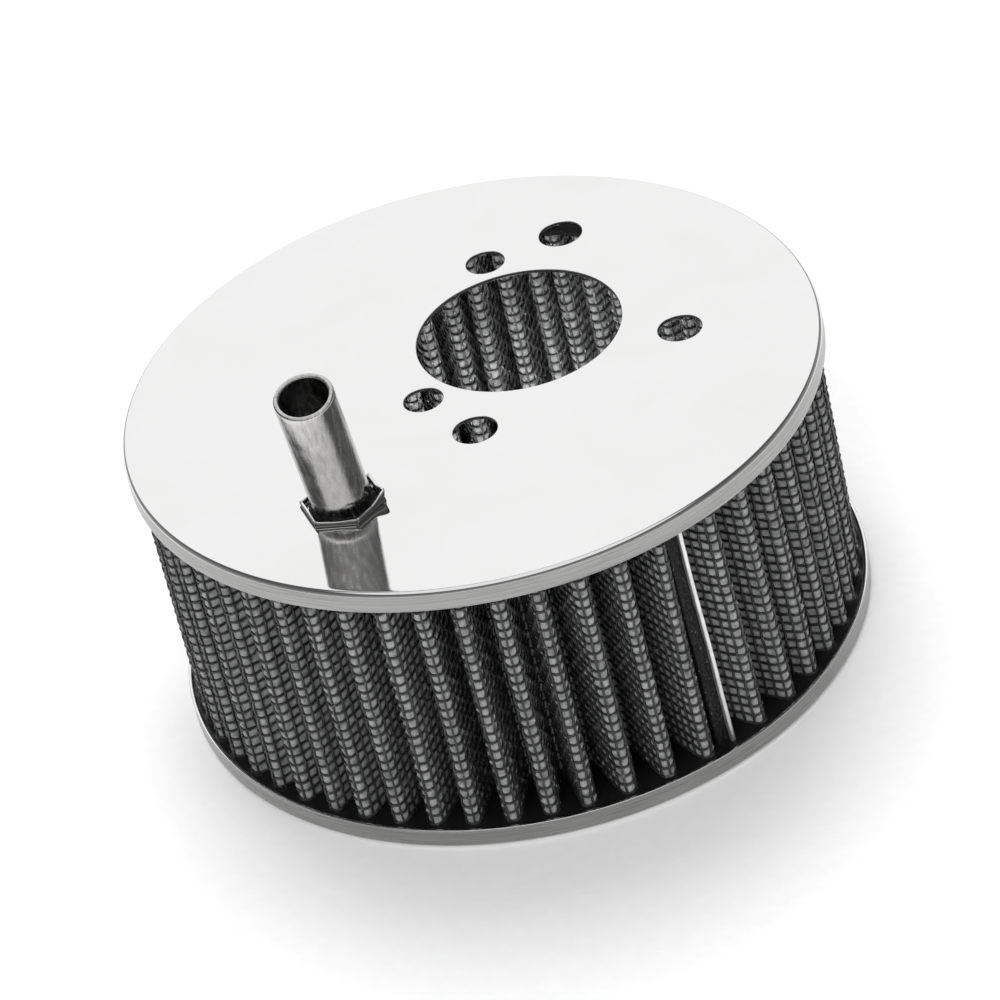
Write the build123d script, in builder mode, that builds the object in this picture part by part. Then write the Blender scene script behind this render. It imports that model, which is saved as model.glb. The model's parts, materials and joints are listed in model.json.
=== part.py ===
from build123d import *

import os
from math import asin, atan2, cos, degrees, exp, hypot, radians, sin

# Pleated "pancake" air filter that bolts flat against a side-draught carburettor.
# Two dished steel plates hold a ring of pleated gauze between them.  The base plate,
# which meets the carburettor, carries the bore, the bolt holes, two vents and a stub
# of pipe for the crankcase breather hose.  The cover plate at the other end is blank.
#
# Frame: origin at the centre of the cover's outer face, +Z along the filter's axis
# towards the base plate, +X from the bore's centre towards the single bolt hole.
# All lengths are in millimetres and all angles in degrees.

os.makedirs("parts", exist_ok=True)

# ---- driving dimensions -------------------------------------------------------------

filter_diameter = 150.0
filter_height = 67.0
sheet = 0.8                      # thickness of both pressed plates
rim_height = 4.8                 # turned-down edge of each plate
rim_bend = 1.2                   # outside bend radius of the turned-down edge
rim_lip = 0.25                   # rounding of the rim's free edge

bore_diameter = 44.45            # 1.75 inch carburettor throat
bore_x, bore_y = 6.8, 15.7       # the bore is off the filter's axis
bolt_circle = 71.3               # pitch circle of the three flange bolt holes
bolt_hole = 9.5
bolt_angles = (-90.0, 0.0, 90.0)
vent_circle = 57.8               # pitch circle of the two piston chamber vents
vent_hole = 8.5
vent_angles = (-119.8, 119.8)

tube_x, tube_y = -14.86, -45.05  # where the breather tube's axis crosses the base plate
tube_tilt = 13.8                 # lean of the tube away from the filter's axis
tube_heading = -81.2             # compass direction it leans in, from +X
tube_diameter = 12.7
tube_wall = 1.2
tube_length = 34.0               # above the base plate, along the tube
tube_foot_diameter = 12.3        # turned down where it goes through collar and plate
tube_foot_height = 3.4           # of the turned-down part, above the base plate
tube_inside = 3.2                # below the base plate's outer face, along the tube
tube_end_round = 0.4
tube_clearance = 0.05            # radial, in the base plate's hole

collar_flats = 15.4              # hexagonal collar round the tube's foot
collar_wall = 0.8
collar_height = 1.5
collar_turn = -53.0              # direction of one of its corners
collar_shift = 0.2               # set over this far towards the side the tube leans to
collar_chamfer = 0.2
bead_height = 0.7                # sealant between collar and tube

pleat_count = 55
pleat_outer_radius = 73.2        # to the outside of the outer wire mesh
pleat_inner_radius = 57.2        # to the inside of the inner wire mesh
outer_fold = 0.9                 # fold radii at the middle of the media
inner_fold = 1.0
pleat_embed = 2.4                # depth of the pleat ends in the potting
mesh_thickness = 0.4
gauze_thickness = 0.175
gauze_layers = 4
layer_gap = 0.02                 # keeps touching layers from sharing volume

seam_angle = -37.7               # middle of the wide gap where the pleated strip closes
seam_gap = 10.8                  # angle between the two pleats beside the seam
pitch_spread = 1.1               # extra pitch of the pleats next to the seam
pitch_decay = 0.5                # how fast that extra dies out, per pleat

seam_strip_angle = -38.2
seam_strip_thickness = 1.0
seam_strip_inner, seam_strip_outer = 63.0, 71.6
seam_strip_round = 0.3
seam_fill_inner = 61.5           # where the sealant stops beneath the strip

potting_height = 3.6
potting_inner_radius = 56.0
potting_round = 0.6              # rounded inner edge of each potting ring

# ---- values worked out from them ----------------------------------------------------

filter_radius = filter_diameter / 2
plate_inside = filter_height - sheet
rim_inner_radius = filter_radius - sheet
bend_inside = rim_bend - sheet
bore_centre = Vector(bore_x, bore_y)
media_half = mesh_thickness + gauze_layers * gauze_thickness / 2
pleat_bottom = sheet + potting_height - pleat_embed
pleat_top = filter_height - pleat_bottom
outer_fold_centre = pleat_outer_radius - media_half - outer_fold
inner_fold_centre = pleat_inner_radius + media_half + inner_fold

tube_axis = Vector(
    sin(radians(tube_tilt)) * cos(radians(tube_heading)),
    sin(radians(tube_tilt)) * sin(radians(tube_heading)),
    cos(radians(tube_tilt)),
)
tube_plane = Plane(origin=(tube_x, tube_y, filter_height), z_dir=tube_axis)
collar_x = tube_x + collar_shift * cos(radians(tube_heading))
collar_y = tube_y + collar_shift * sin(radians(tube_heading))


def polar(radius, angle):
    """Point in the XY plane at a radius and angle from the filter's axis."""
    return Vector(radius * cos(radians(angle)), radius * sin(radians(angle)))


def spread_pitches():
    """Angle from each pleat to the next, wider towards the seam on both sides."""
    steps = pleat_count - 1
    extras = [
        pitch_spread * (exp(-pitch_decay * k) + exp(-pitch_decay * (steps - 1 - k)))
        for k in range(steps)
    ]
    even = (360 - seam_gap - sum(extras)) / steps
    return [even + extra for extra in extras]


def fold_centres():
    """Fold centres in order: each outer fold is followed by the inner fold after it."""
    angle = seam_angle + seam_gap / 2
    centres = []
    for pitch in spread_pitches() + [seam_gap]:
        centres.append((polar(outer_fold_centre, angle), True))
        centres.append((polar(inner_fold_centre, angle + pitch / 2), False))
        angle += pitch
    return centres


def flank(start, end, leaving_outer):
    """Direction angle of the straight flank that joins two neighbouring folds."""
    gap = end - start
    lean = degrees(asin((outer_fold + inner_fold) / hypot(gap.X, gap.Y)))
    return degrees(atan2(gap.Y, gap.X)) + (lean if leaving_outer else -lean)


def pleat_outline(shift):
    """Edges of the closed pleated outline, `shift` outside the middle of the media."""
    centres = fold_centres()
    count = len(centres)
    directions = [
        flank(centres[i][0], centres[(i + 1) % count][0], centres[i][1])
        for i in range(count)
    ]
    edges = []
    ends = []
    for i, (centre, is_outer) in enumerate(centres):
        radius = outer_fold + shift if is_outer else inner_fold - shift
        side = -90 if is_outer else 90
        first, last = directions[i - 1] + side, directions[i] + side
        sweep_angle = (last - first) % 360 if is_outer else -((first - last) % 360)
        arc = CenterArc(centre, radius, first, sweep_angle, mode=Mode.PRIVATE)
        edges.append(arc)
        ends.append((arc @ 0, arc @ 1))
    for i in range(count):
        edges.append(Line(ends[i][1], ends[(i + 1) % count][0], mode=Mode.PRIVATE))
    return edges


def along_strip(radius, side):
    """Point in the seam strip's plane frame: out along it, then `side` across it."""
    return polar(radius, seam_strip_angle) + polar(side, seam_strip_angle + 90)


def seam_fill_corners(extra):
    """Corners of the sealant beside the seam strip, its outer face moved by `extra`.

    Two sides run inside the media, which is cut away from the filling afterwards.
    """
    last_pleat, seam_fold = fold_centres()[-2][0], fold_centres()[-1][0]
    direction = flank(last_pleat, seam_fold, True)
    shoulder = last_pleat + polar(outer_fold, direction - 90)
    strip_side = -seam_strip_thickness / 2 - layer_gap
    return [
        seam_fold - polar(inner_fold, seam_angle),
        seam_fold + polar(inner_fold, direction + 90),
        shoulder + polar(extra, seam_strip_angle),
        along_strip(shoulder.length + extra, strip_side),
        along_strip(seam_fill_inner, strip_side),
    ]


def dished_plate(outer_face, inner_face, lip):
    """Round plate with a turned-down rim, bent at the outer face and open at the lip."""
    with BuildPart() as plate:
        with BuildSketch(Plane.XZ):
            with BuildLine():
                Polyline(
                    (0, outer_face),
                    (filter_radius, outer_face),
                    (filter_radius, lip),
                    (rim_inner_radius, lip),
                    (rim_inner_radius, inner_face),
                    (0, inner_face),
                    close=True,
                )
            make_face()
        revolve(axis=Axis.Z)
        rims = plate.edges().filter_by(GeomType.CIRCLE)
        fillet(rims.filter_by_position(Axis.Z, lip, lip), rim_lip)
        bends = plate.edges().filter_by(GeomType.CIRCLE)
        fillet(bends.filter_by_position(Axis.Z, outer_face, outer_face), rim_bend)
        fillet(bends.filter_by_position(Axis.Z, inner_face, inner_face), bend_inside)
    return plate.part


def media_layer(name, inner_shift, outer_shift):
    """Write one pleated layer, between two offsets from the middle of the media."""
    with BuildPart() as layer:
        with BuildSketch(Plane.XY.offset(pleat_bottom)):
            with BuildLine():
                add(pleat_outline(outer_shift))
            make_face()
            with BuildLine():
                add(pleat_outline(inner_shift))
            make_face(mode=Mode.SUBTRACT)
        extrude(amount=pleat_top - pleat_bottom)
    layer.part.label = name
    export_step(layer.part, f"parts/{name}.step")


# ---- base plate: the carburettor's side ---------------------------------------------

with BuildPart() as base_plate:
    add(dished_plate(filter_height, plate_inside, filter_height - rim_height))
    with BuildSketch(Plane.XY.offset(filter_height)):
        with Locations((bore_x, bore_y)):
            Circle(bore_diameter / 2)
        with Locations([bore_centre + polar(bolt_circle / 2, a) for a in bolt_angles]):
            Circle(bolt_hole / 2)
        with Locations([bore_centre + polar(vent_circle / 2, a) for a in vent_angles]):
            Circle(vent_hole / 2)
    extrude(amount=-2 * sheet, mode=Mode.SUBTRACT)
    with BuildSketch(tube_plane.offset(-tube_inside)):
        Circle(tube_foot_diameter / 2 + tube_clearance)
    extrude(amount=2 * tube_inside, mode=Mode.SUBTRACT)
base_plate.part.label = "base_plate"
export_step(base_plate.part, "parts/base_plate.step")

# ---- cover plate: blank, at the far end ---------------------------------------------

with BuildPart() as cover_plate:
    add(dished_plate(0, sheet, rim_height))
cover_plate.part.label = "cover_plate"
export_step(cover_plate.part, "parts/cover_plate.step")

# ---- breather tube with its collar and bead -----------------------------------------

with BuildPart() as breather_tube:
    with BuildSketch(tube_plane.offset(-tube_inside)):
        Circle(tube_foot_diameter / 2)
    extrude(amount=tube_inside + tube_foot_height)
    with BuildSketch(tube_plane.offset(tube_foot_height)):
        Circle(tube_diameter / 2)
    extrude(amount=tube_length - tube_foot_height)
    with BuildSketch(tube_plane.offset(-tube_inside)):
        Circle(tube_diameter / 2 - tube_wall)
    extrude(amount=tube_inside + tube_length, mode=Mode.SUBTRACT)
    open_end = breather_tube.edges().filter_by(GeomType.CIRCLE).group_by(Axis.Z)[-1]
    fillet(open_end, tube_end_round)
breather_tube.part.label = "breather_tube"
export_step(breather_tube.part, "parts/breather_tube.step")

with BuildPart() as breather_collar:
    with BuildSketch(Plane.XY.offset(filter_height)):
        with Locations((collar_x, collar_y)):
            RegularPolygon(collar_flats / 2, 6, major_radius=False, rotation=collar_turn)
    extrude(amount=collar_height)
    chamfer(breather_collar.faces().sort_by(Axis.Z)[-1].edges(), collar_chamfer)
    with BuildSketch(Plane.XY.offset(filter_height)):
        with Locations((collar_x, collar_y)):
            RegularPolygon(
                collar_flats / 2 - collar_wall, 6, major_radius=False, rotation=collar_turn
            )
    extrude(amount=collar_height, mode=Mode.SUBTRACT)
breather_collar.part.label = "breather_collar"
export_step(breather_collar.part, "parts/breather_collar.step")

with BuildPart() as breather_bead:
    with BuildSketch(Plane.XY.offset(filter_height)):
        with Locations((collar_x, collar_y)):
            RegularPolygon(
                collar_flats / 2 - collar_wall - layer_gap,
                6,
                major_radius=False,
                rotation=collar_turn,
            )
    extrude(amount=bead_height)
    with BuildSketch(tube_plane.offset(-tube_inside)):
        Circle(tube_foot_diameter / 2 + layer_gap)
    extrude(amount=2 * tube_inside, mode=Mode.SUBTRACT)
breather_bead.part.label = "breather_bead"
export_step(breather_bead.part, "parts/breather_bead.step")

# ---- pleated media: wire mesh, cotton gauze, wire mesh ------------------------------

media_layer("outer_mesh", media_half - mesh_thickness + layer_gap, media_half)
for number in range(gauze_layers):
    outside = media_half - mesh_thickness - number * gauze_thickness
    media_layer(f"gauze_layer_{number + 1}", outside - gauze_thickness + layer_gap, outside)
media_layer("inner_mesh", -media_half, -media_half + mesh_thickness)

# ---- seam: the edge strip that clips the media's ends, and the sealant beside it ----

with BuildPart() as seam_strip:
    with BuildSketch(Plane.XY.offset(pleat_bottom)):
        strip_middle = polar((seam_strip_inner + seam_strip_outer) / 2, seam_strip_angle)
        with Locations(strip_middle):
            Rectangle(
                seam_strip_outer - seam_strip_inner,
                seam_strip_thickness,
                rotation=seam_strip_angle,
            )
    extrude(amount=pleat_top - pleat_bottom)
    outer_direction = Axis((0, 0, 0), polar(1, seam_strip_angle))
    fillet(seam_strip.edges().filter_by(Axis.Z).group_by(outer_direction)[-1], seam_strip_round)
seam_strip.part.label = "seam_strip"
export_step(seam_strip.part, "parts/seam_strip.step")

with BuildPart() as seam_sealant:
    with BuildSketch(Plane.XY.offset(pleat_bottom)):
        with BuildLine():
            Polyline(*seam_fill_corners(0), close=True)
        make_face()
        with BuildLine():
            add(pleat_outline(media_half + layer_gap))
        make_face(mode=Mode.SUBTRACT)
    extrude(amount=pleat_top - pleat_bottom)
seam_sealant.part.label = "seam_sealant"
export_step(seam_sealant.part, "parts/seam_sealant.step")

# ---- potting: the ring in each plate that holds the pleat ends ----------------------

with BuildPart() as cover_end_potting:
    with BuildSketch(Plane.XY.offset(sheet)):
        Circle(rim_inner_radius)
        Circle(potting_inner_radius, mode=Mode.SUBTRACT)
    extrude(amount=potting_height)
    rings = cover_end_potting.edges().filter_by(GeomType.CIRCLE)
    fillet(rings.filter_by_position(Axis.Z, sheet, sheet).sort_by(SortBy.RADIUS)[-1], bend_inside)
    fillet(rings.group_by(Axis.Z)[-1].sort_by(SortBy.RADIUS)[0], potting_round)
    with BuildSketch(Plane.XY.offset(pleat_bottom - layer_gap)):
        with BuildLine():
            add(pleat_outline(media_half + layer_gap))
        make_face()
        with BuildLine():
            add(pleat_outline(-media_half - layer_gap))
        make_face(mode=Mode.SUBTRACT)
        with BuildLine():
            Polyline(*seam_fill_corners(layer_gap), close=True)
        make_face()
        with Locations(strip_middle):
            Rectangle(
                seam_strip_outer - seam_strip_inner + 2 * layer_gap,
                seam_strip_thickness + 2 * layer_gap,
                rotation=seam_strip_angle,
            )
    extrude(amount=potting_height, mode=Mode.SUBTRACT)
cover_end_potting.part.label = "cover_end_potting"
export_step(cover_end_potting.part, "parts/cover_end_potting.step")

with BuildPart() as base_end_potting:
    mirror(cover_end_potting.part, about=Plane.XY.offset(filter_height / 2))
base_end_potting.part.label = "base_end_potting"
export_step(base_end_potting.part, "parts/base_end_potting.step")
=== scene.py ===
import json
import math

import bmesh
import bpy
import numpy as np
from mathutils import Matrix, Vector, kdtree


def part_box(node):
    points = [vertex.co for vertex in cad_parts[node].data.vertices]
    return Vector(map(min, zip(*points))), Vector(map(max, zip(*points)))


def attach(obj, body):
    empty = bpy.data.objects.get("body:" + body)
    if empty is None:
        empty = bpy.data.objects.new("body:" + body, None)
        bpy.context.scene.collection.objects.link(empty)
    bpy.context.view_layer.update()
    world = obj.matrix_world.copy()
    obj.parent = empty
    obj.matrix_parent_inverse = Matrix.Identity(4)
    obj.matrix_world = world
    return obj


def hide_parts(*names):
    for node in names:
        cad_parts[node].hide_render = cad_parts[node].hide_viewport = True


# Visual model of a pleated pancake air filter: every wire of the two meshes, the cotton
# layers with their cushions between the wires, the poured potting rings, the seam with
# its clipped strip, and the polished plates.  Lengths are metres, and angles written as
# numbers are degrees.

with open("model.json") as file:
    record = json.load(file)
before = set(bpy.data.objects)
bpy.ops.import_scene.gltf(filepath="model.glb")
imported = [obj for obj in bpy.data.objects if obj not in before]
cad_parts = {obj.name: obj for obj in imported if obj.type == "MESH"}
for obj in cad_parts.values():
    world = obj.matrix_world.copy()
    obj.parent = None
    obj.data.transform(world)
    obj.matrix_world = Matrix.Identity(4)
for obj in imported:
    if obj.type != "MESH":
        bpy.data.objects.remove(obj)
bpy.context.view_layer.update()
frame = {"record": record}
chance = np.random.default_rng(7)

MM = 0.001

# ---- sizes read from the CAD frame ---------------------

plate_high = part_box("base_plate")[1]
cover_low, cover_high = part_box("cover_plate")
mesh_low, mesh_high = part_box("outer_mesh")
cover_pot_low, cover_pot_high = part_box("cover_end_potting")
base_pot_low, base_pot_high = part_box("base_end_potting")

filter_radius = plate_high.x
filter_height = plate_high.z
sheet = plate_high.z - base_pot_high.z
rim_height = cover_high.z - cover_low.z
rim_inner_radius = cover_pot_high.x
media_bottom, media_top = mesh_low.z, mesh_high.z

# ---- pleats: the same folds as the CAD media -----------

pleat_count = 55
pleat_outer_radius = 73.2 * MM
pleat_inner_radius = 57.2 * MM
outer_fold = 0.9 * MM
inner_fold = 1.0 * MM
media_half = 0.75 * MM
outer_fold_centre = pleat_outer_radius - media_half - outer_fold
inner_fold_centre = pleat_inner_radius + media_half + inner_fold
seam_angle = -37.7
seam_gap = 10.8                  # from the last pleat before the seam to the first after it
pitch_spread = 1.1               # extra pitch of the pleats beside the seam
pitch_decay = 0.5                # how fast that dies away from pleat to pleat

# offsets from the middle of the media
outer_wire_shift = 0.60 * MM
inner_wire_shift = -0.60 * MM
layer_shifts = (0.33 * MM, 0.12 * MM, -0.12 * MM, -0.33 * MM)

wire_pitch = 2.31 * MM
wire_radius = 0.30 * MM
wire_wander = 0.07 * MM          # how far a wire strays from its place in the weave
weave_height = 0.14 * MM
first_hoop = media_bottom + 0.2 * wire_pitch
cushion_height = 0.42 * MM
cushion_spread = 0.35            # how unevenly the cushions swell
cloth_thickness = 0.15 * MM

general_lean = 0.35              # lean of every pleat from its top to its bottom
seam_lean = 1.5                  # extra lean of the pleats to one side of the seam
seam_lean_begins = (-44, -37)    # azimuths over which it sets in
seam_lean_ends = (12, 60)        # and those over which it dies away


def unit(angle):
    """Unit vector in the plane of the plates."""
    return np.array([math.cos(math.radians(angle)), math.sin(math.radians(angle))])


def fold_list():
    """Centre and kind of every fold, an outer fold and then the inner fold after it."""
    steps = pleat_count - 1
    extra = [
        pitch_spread * (math.exp(-pitch_decay * k) + math.exp(-pitch_decay * (steps - 1 - k)))
        for k in range(steps)
    ]
    even = (360 - seam_gap - sum(extra)) / steps
    angle = seam_angle + seam_gap / 2
    folds = []
    for pitch in [even + e for e in extra] + [seam_gap]:
        folds.append((outer_fold_centre * unit(angle), True))
        folds.append((inner_fold_centre * unit(angle + pitch / 2), False))
        angle += pitch
    return folds


def pleat_arcs(shift):
    """Arc of every fold, `shift` outside the media's middle; straight flanks join them.

    Each arc is its centre, its radius, its first angle, its sweep and its kind.
    """
    folds = fold_list()
    count = len(folds)
    headings = []
    for i, (centre, is_outer) in enumerate(folds):
        gap = folds[(i + 1) % count][0] - centre
        lean = math.degrees(math.asin((outer_fold + inner_fold) / np.hypot(*gap)))
        heading = math.degrees(math.atan2(gap[1], gap[0]))
        headings.append(heading + (lean if is_outer else -lean))
    arcs = []
    for i, (centre, is_outer) in enumerate(folds):
        radius = outer_fold + shift if is_outer else inner_fold - shift
        side = -90 if is_outer else 90
        first = headings[i - 1] + side
        last = headings[i] + side
        sweep = (last - first) % 360 if is_outer else -((first - last) % 360)
        arcs.append((centre, radius, first, sweep, is_outer))
    return arcs


class Profile:
    """Stations along a pleated outline, each with its point and outward normal.

    Upright wires cross it once in every step of the weave.  More stations round the
    folds keep the arcs smooth, and `halved` adds one midway between the crossings on
    the flanks.
    """

    closest = 0.16               # smallest gap between stations, in steps

    def __init__(self, shift, arc_step, halved=False):
        self.arcs = pleat_arcs(shift)
        self.pieces = []         # kind, distance at its start, length, number of its arc
        self.length = 0.0
        for i, (_, radius, _, sweep, _) in enumerate(self.arcs):
            self.append_piece("arc", abs(math.radians(sweep)) * radius, i)
            start, end = self.flank_ends(i)
            self.append_piece("flank", np.hypot(*(end - start)), i)
        self.begins = np.array([begin for _, begin, _, _ in self.pieces])
        self.cells = 2 * round(self.length / wire_pitch / 2)
        self.step = self.length / self.cells
        stations = self.spread_stations(arc_step, halved)
        self.s = np.array([s for s, _ in stations])
        self.crossing = np.array([crosses for _, crosses in stations])
        located = [self.locate(s) for s in self.s]
        self.points = np.array([point for point, _ in located])
        self.normals = np.array([normal for _, normal in located])
        middles = [begin + length / 2 for kind, begin, length, _ in self.pieces if kind == "arc"]
        self.tips = np.array(middles[0::2])

    def append_piece(self, kind, length, i):
        self.pieces.append((kind, self.length, length, i))
        self.length += length

    def flank_ends(self, i):
        """Ends of the straight flank that follows arc `i`."""
        centre, radius, first, sweep, _ = self.arcs[i]
        next_centre, next_radius, next_first, _, _ = self.arcs[(i + 1) % len(self.arcs)]
        return centre + radius * unit(first + sweep), next_centre + next_radius * unit(next_first)

    def spread_stations(self, arc_step, halved):
        """Distances along the outline, each with whether an upright crosses there."""
        marks = [(k * self.step, True) for k in range(self.cells)]
        for kind, begin, length, _ in self.pieces:
            if kind == "arc":
                parts = max(2, math.ceil(length / arc_step))
                marks += [(begin + length * p / parts, False) for p in range(parts + 1)]
        if halved:
            flanks = [(begin, begin + length) for kind, begin, length, _ in self.pieces if kind == "flank"]
            middles = [(k + 0.5) * self.step for k in range(self.cells)]
            marks += [(m, False) for m in middles if any(a < m < b for a, b in flanks)]
        marks.sort()
        kept = [marks[0]]
        for mark in marks[1:]:
            if mark[0] - kept[-1][0] > self.closest * self.step:
                kept.append(mark)
            elif mark[1]:
                kept[-1] = mark
        return kept

    def locate(self, s):
        """Point and outward normal at a distance along the outline."""
        kind, begin, length, i = self.pieces[np.searchsorted(self.begins, s, side="right") - 1]
        centre, radius, first, sweep, is_outer = self.arcs[i]
        part = (s - begin) / length
        out = 1 if is_outer else -1
        if kind == "arc":
            normal = unit(first + sweep * part) * out
            return centre + radius * normal * out, normal
        start, end = self.flank_ends(i)
        return start + (end - start) * part, unit(first + sweep) * out


def smooth(low, high, x):
    """Rise from 0 at `low` to 1 at `high`, level at both ends."""
    t = np.clip((x - low) / (high - low), 0, 1)
    return t * t * (3 - 2 * t)


# one entry per pleat tip: sideways set, bow, how the bow leans, and reach outwards
tip_set = np.radians(chance.normal(0, 0.13, pleat_count))
tip_bow = np.radians(chance.normal(0, 0.16, pleat_count))
tip_twist = np.radians(chance.normal(0, 0.22, pleat_count))
tip_reach = chance.normal(-0.10, 0.14, pleat_count) * MM

# one entry per inner fold: sideways set and how it changes with height; the fold
# beneath the seam stays where the strip holds it
root_set = np.radians(np.clip(chance.normal(0, 0.55, pleat_count), -0.8, 0.8))
root_twist = np.radians(np.clip(chance.normal(0, 0.35, pleat_count), -0.6, 0.6))
root_set[-1] = root_twist[-1] = 0.0


def lean_at(azimuth):
    """Lean of the media from its top to its bottom, in degrees, at an azimuth."""
    near = smooth(*seam_lean_begins, azimuth) * (1 - smooth(*seam_lean_ends, azimuth))
    return general_lean + seam_lean * near


def settle(xy, z, share, phase):
    """Move points the way the hand-laid media sits: leaning, bowed and uneven.

    `share` is 1 at the pleat tips and 0 at the inner folds; `phase` counts pleats.
    """
    k = np.floor(phase).astype(int) % pleat_count
    t = phase - np.floor(phase)

    def between(values):
        return values[k] * (1 - t) + values[(k + 1) % pleat_count] * t

    level = np.clip((z - media_bottom) / (media_top - media_bottom), 0, 1)
    azimuth = np.degrees(np.arctan2(xy[..., 1], xy[..., 0]))
    turn = np.radians(lean_at(azimuth)) * (0.5 - level)
    loose = np.sin(np.pi * level)
    turn = turn + share * (between(tip_bow) * loose + between(tip_twist) * (level - 0.5) * loose)
    turn = turn + share * between(tip_set)
    turn = turn + (1 - share) * (root_set[k] + root_twist[k] * (level - 0.5))
    radius = np.hypot(xy[..., 0], xy[..., 1])
    grow = 1 + share * between(tip_reach) * (0.3 + 0.7 * loose) / radius
    c, s = np.cos(turn), np.sin(turn)
    x = (xy[..., 0] * c - xy[..., 1] * s) * grow
    y = (xy[..., 0] * s + xy[..., 1] * c) * grow
    return np.stack([x, y, z + 0 * x], axis=-1)


def place(profile, offset, z, columns=None):
    """Points `offset` outside a profile at heights `z`, at some stations or at all."""
    if columns is None:
        columns = np.arange(len(profile.s))
    columns = np.broadcast_to(columns, offset.shape)
    xy = profile.points[columns] + profile.normals[columns] * offset[..., None]
    radius = np.hypot(profile.points[:, 0], profile.points[:, 1])[columns]
    share = np.clip((radius - pleat_inner_radius) / (pleat_outer_radius - pleat_inner_radius), 0, 1)
    tips = np.append(profile.tips, profile.tips[0] + profile.length)
    phase = np.interp(profile.s[columns], tips, np.arange(pleat_count + 1))
    return settle(xy, z, share, phase)


def outward(profile, offset, z, columns=None):
    """Unit vectors square to the media at the points that `place` would give."""
    nudge = 1e-5
    away = place(profile, offset + nudge, z, columns) - place(profile, offset, z, columns)
    return away / np.linalg.norm(away, axis=-1, keepdims=True)


# ---- building meshes -----------------------------------


def make_mesh(name, points, faces, node, slot, material, uv=None, painted_fill_reach=None):
    """A piece from an (N, 3) array of points and a list of arrays of triangles or quads."""
    mesh = bpy.data.meshes.new(name)
    points = np.asarray(points, np.float32).reshape(-1, 3)
    faces = [np.asarray(f, np.int32) for f in (faces if isinstance(faces, list) else [faces])]
    corners = np.concatenate([f.ravel() for f in faces])
    sizes = np.concatenate([np.full(len(f), f.shape[1], np.int32) for f in faces])
    starts = np.cumsum(sizes) - sizes
    mesh.vertices.add(len(points))
    mesh.vertices.foreach_set("co", points.ravel())
    mesh.loops.add(len(corners))
    mesh.loops.foreach_set("vertex_index", corners)
    mesh.polygons.add(len(sizes))
    mesh.polygons.foreach_set("loop_start", starts.astype(np.int32))
    mesh.update(calc_edges=True)
    mesh.polygons.foreach_set("use_smooth", np.ones(len(sizes), bool))
    if uv is not None:
        layer = mesh.uv_layers.new(name="weave")
        layer.data.foreach_set("uv", np.asarray(uv, np.float32).ravel())
    # the cloth's reach towards the tips, which drives the painted fill light of the cotton material
    if painted_fill_reach is not None:
        layer = mesh.attributes.new("painted_fill_reach", "FLOAT", "POINT")
        layer.data.foreach_set("value", np.asarray(painted_fill_reach, np.float32).ravel())
    mesh.validate()
    mesh.materials.append(material)
    piece = bpy.data.objects.new(name, mesh)
    bpy.context.scene.collection.objects.link(piece)
    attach(piece, "root")
    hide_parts(node)


def band(low, high, columns):
    """Quads between two closed rows of points that start at indices `low` and `high`."""
    c = np.arange(columns)
    following = (c + 1) % columns
    return np.stack([low + c, low + following, high + following, high + c], -1)


def sheet_quads(rows, columns, start=0):
    """Quads of a sheet whose columns close on themselves."""
    lows = [start + r * columns for r in range(rows - 1)]
    return np.concatenate([band(low, low + columns, columns) for low in lows])


def turned(quads, over):
    """The same quads, facing the other way if `over` is true."""
    return quads[:, ::-1] if over else quads


def joined(parts):
    """Points and faces of several (points, list of faces) parts as one."""
    starts = np.cumsum([0] + [len(points) for points, _ in parts])
    faces = [f + start for (_, made), start in zip(parts, starts) for f in made]
    return np.concatenate([points for points, _ in parts]), faces


def wires(centre, across, up, sides, closed):
    """Round wires along (W, K, 3) centre lines, with two (W, K, 3) frame directions."""
    count, length = centre.shape[:2]
    turn = 2 * np.pi * (np.arange(sides) + 0.5) / sides
    ring = across[:, :, None] * np.cos(turn)[:, None] + up[:, :, None] * np.sin(turn)[:, None]
    points = centre[:, :, None] + wire_radius * ring
    stretch = np.arange(length if closed else length - 1)
    w, k, m = np.meshgrid(np.arange(count), stretch, np.arange(sides), indexing="ij")
    following = (k + 1) % length
    around = (m + 1) % sides

    def index(a, b, c):
        return (a * length + b) * sides + c

    corners = [index(w, k, m), index(w, following, m), index(w, following, around), index(w, k, around)]
    quads = np.stack(corners, -1).reshape(-1, 4)
    if not closed:
        first = np.arange(count)[:, None] * length * sides
        last = first + (length - 1) * sides
        corner = np.arange(sides)
        quads = np.concatenate([quads, first + corner, last + corner[::-1]])
    return points.reshape(-1, 3), quads


def loft(rings):
    """Points and faces through (K, M, 3) rings, closed at both ends."""
    count, sides = rings.shape[:2]
    hubs = rings[[0, -1]].mean(axis=1)
    points = np.concatenate([rings.reshape(-1, 3), hubs])
    c = np.arange(sides)
    following = (c + 1) % sides
    last = (count - 1) * sides
    start_cap = np.stack([following, c, np.full(sides, count * sides)], -1)
    end_cap = np.stack([last + c, last + following, np.full(sides, count * sides + 1)], -1)
    return points, [sheet_quads(count, sides), start_cap, end_cap]


# ---- materials -----------------------------------------


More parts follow.
